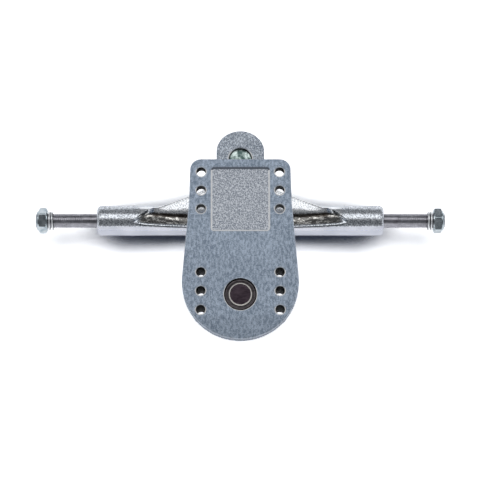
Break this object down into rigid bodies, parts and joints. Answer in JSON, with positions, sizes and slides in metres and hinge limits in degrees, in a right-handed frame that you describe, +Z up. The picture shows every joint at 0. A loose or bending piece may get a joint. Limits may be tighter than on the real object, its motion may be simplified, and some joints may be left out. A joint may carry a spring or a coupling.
{
  "type": "skateboard truck",
  "caption": "Skateboard truck with a spring-centred swing arm: a deck plate, a pivot hub, an arm with kingpin and bushings, and a hanger with its axle.",
  "frame": {"origin": "centre of the deck bolt pattern, on the face of the base plate that meets the deck", "axes": "+X along the axle, +Y from the swing pivot towards the kingpin, +Z up into the deck"},
  "size_m": [0.2288, 0.1179, 0.0806],
  "materials": {
    "plate_aluminium": "satin, brushed along the plate",
    "cast_aluminium": "as cast, blasted",
    "polished_aluminium": "polished",
    "zinc_steel": "zinc plated",
    "bearing_steel": "ground",
    "axle_steel": "bare steel with rolled threads",
    "dark_steel": "oiled, dark",
    "spring_steel": "oiled",
    "bronze": "sintered",
    "urethane": "cast urethane",
    "black_urethane": "cast urethane",
    "nylon": "moulded"
  },
  "bodies": {
    "base": {"base_plate": "plate_aluminium", "pivot_pin": "dark_steel", "pivot_collar": "dark_steel", "thrust_washer_upper": "bearing_steel", "return_spring": "spring_steel", "spring_anchor": "zinc_steel", "pivot_washer": "zinc_steel", "pivot_nut": "zinc_steel"},
    "bearing_cage": {"thrust_cage": "bronze", "thrust_roller_01": "bearing_steel", "thrust_roller_02": "bearing_steel", "thrust_roller_03": "bearing_steel", "thrust_roller_04": "bearing_steel", "thrust_roller_05": "bearing_steel", "thrust_roller_06": "bearing_steel", "thrust_roller_07": "bearing_steel", "thrust_roller_08": "bearing_steel", "thrust_roller_09": "bearing_steel", "thrust_roller_10": "bearing_steel", "thrust_roller_11": "bearing_steel", "thrust_roller_12": "bearing_steel"},
    "arm": {"swing_arm": "cast_aluminium", "thrust_washer_lower": "bearing_steel", "hub_bush_upper": "bronze", "hub_bush_lower": "bronze", "pivot_cup": "black_urethane", "kingpin": "zinc_steel", "kingpin_washer_upper": "zinc_steel", "bushing_upper": "urethane", "bushing_lower": "urethane", "kingpin_washer_lower": "zinc_steel", "kingpin_nut": "zinc_steel", "kingpin_nut_insert": "nylon"},
    "hanger": {"hanger": "polished_aluminium", "axle": "axle_steel", "axle_nut_left": "zinc_steel", "axle_nut_insert_left": "nylon", "speed_ring_left_inner": "zinc_steel", "speed_ring_left_outer": "zinc_steel", "axle_nut_right": "zinc_steel", "axle_nut_insert_right": "nylon", "speed_ring_right_inner": "zinc_steel", "speed_ring_right_outer": "zinc_steel"}
  },
  "joints": [
    {"name": "arm_swing", "type": "hinge", "parent": "base", "child": "arm", "pos_m": [0, -0.0288, -0.03], "axis": [0, 0, 1], "range_deg": [-20, 20], "stiffness_Nm_per_rad": 3, "deforming": ["return_spring"]},
    {"name": "cage_turn", "type": "hinge", "parent": "base", "child": "bearing_cage", "pos_m": [0, -0.0288, -0.0155], "axis": [0, 0, 1], "range_deg": [-10.5, 10.5]},
    {"name": "hanger_lean", "type": "hinge", "parent": "arm", "child": "hanger", "pos_m": [0, -0.003, -0.038], "axis": [0, 0.9749, -0.2228], "range_deg": [-8, 8], "stiffness_Nm_per_rad": 14, "deforming": ["bushing_upper", "bushing_lower"]}
  ],
  "couplings": [
    {"joint": "cage_turn", "follows": "arm_swing", "ratio": 0.5}
  ]
}
